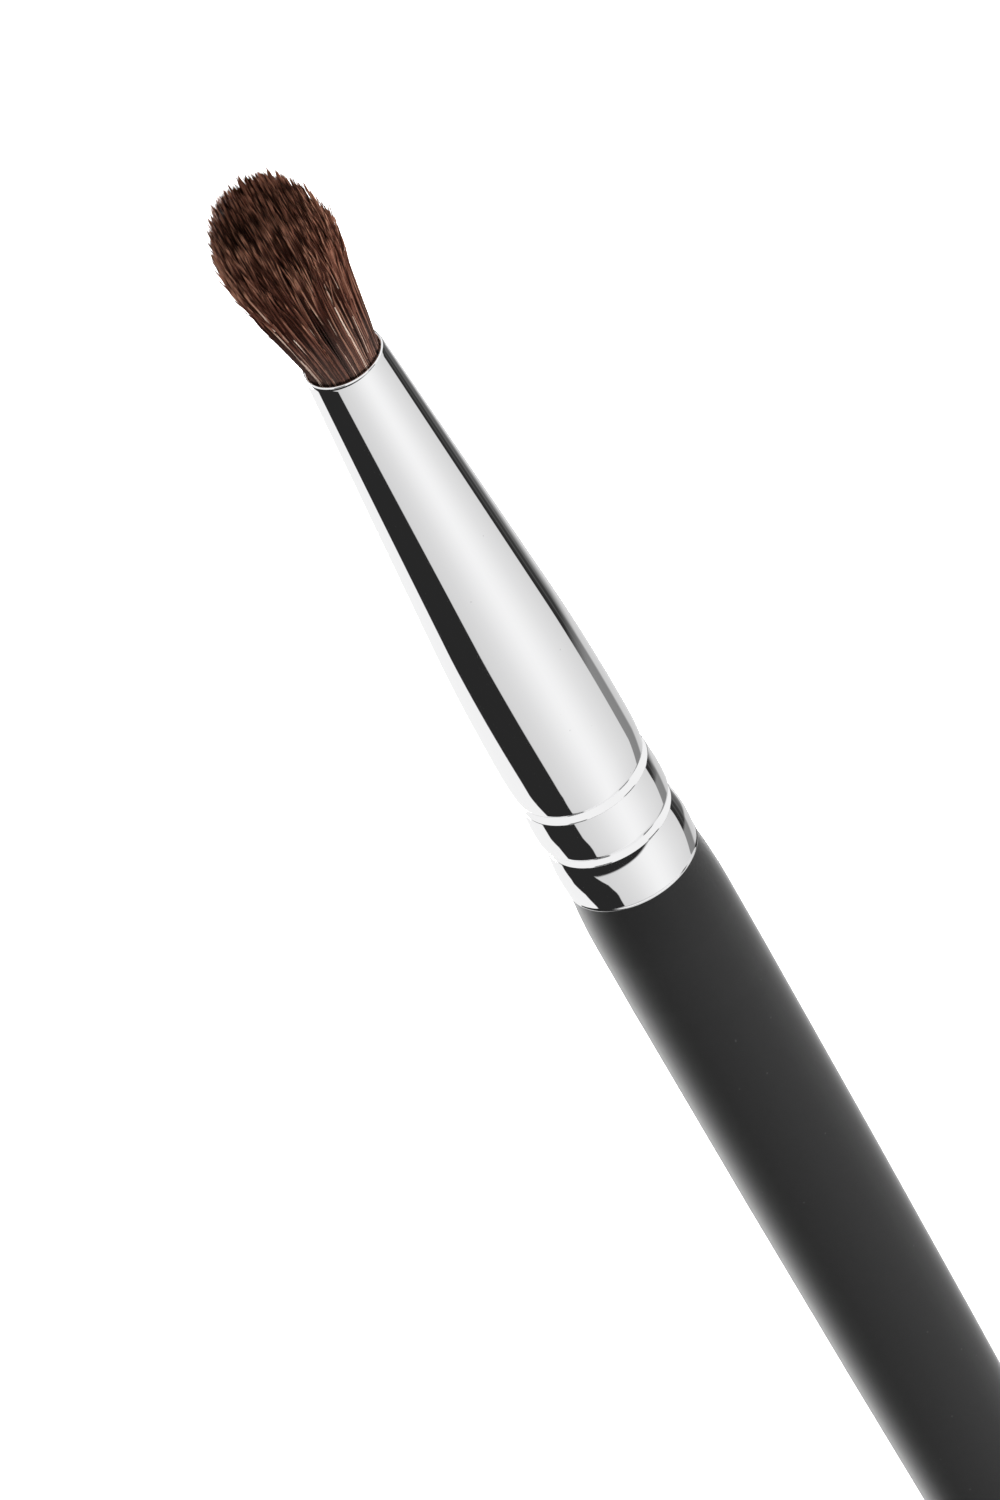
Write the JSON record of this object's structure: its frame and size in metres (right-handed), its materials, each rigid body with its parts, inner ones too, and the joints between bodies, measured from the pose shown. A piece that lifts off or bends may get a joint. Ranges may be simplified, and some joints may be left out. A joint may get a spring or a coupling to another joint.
{
  "type": "eyeshadow brush",
  "caption": "Eyeshadow brush with a domed tuft of dark hair set in a polished tapered ferrule, which is crimped onto a slim matte black handle with a rounded tail.",
  "frame": {"origin": "on the brush's axis, at the middle of the cylindrical land that is the widest part of the handle", "axes": "+Z along the brush's axis towards the hair tip, -Z towards the tail of the handle; the brush is round, so X and Y are any two directions square to it"},
  "size_m": [0.0094, 0.0094, 0.1737],
  "materials": {
    "lacquered_wood": "matte",
    "glue": "matte",
    "plated_brass": "polished",
    "resin": "gloss",
    "thread": "matte",
    "hair": "satin"
  },
  "bodies": {
    "root": {"handle": "lacquered_wood", "handle_glue": "glue", "ferrule": "plated_brass", "root_resin": "resin", "root_thread": "thread", "hair_tuft": "hair"}
  },
  "joints": []
}
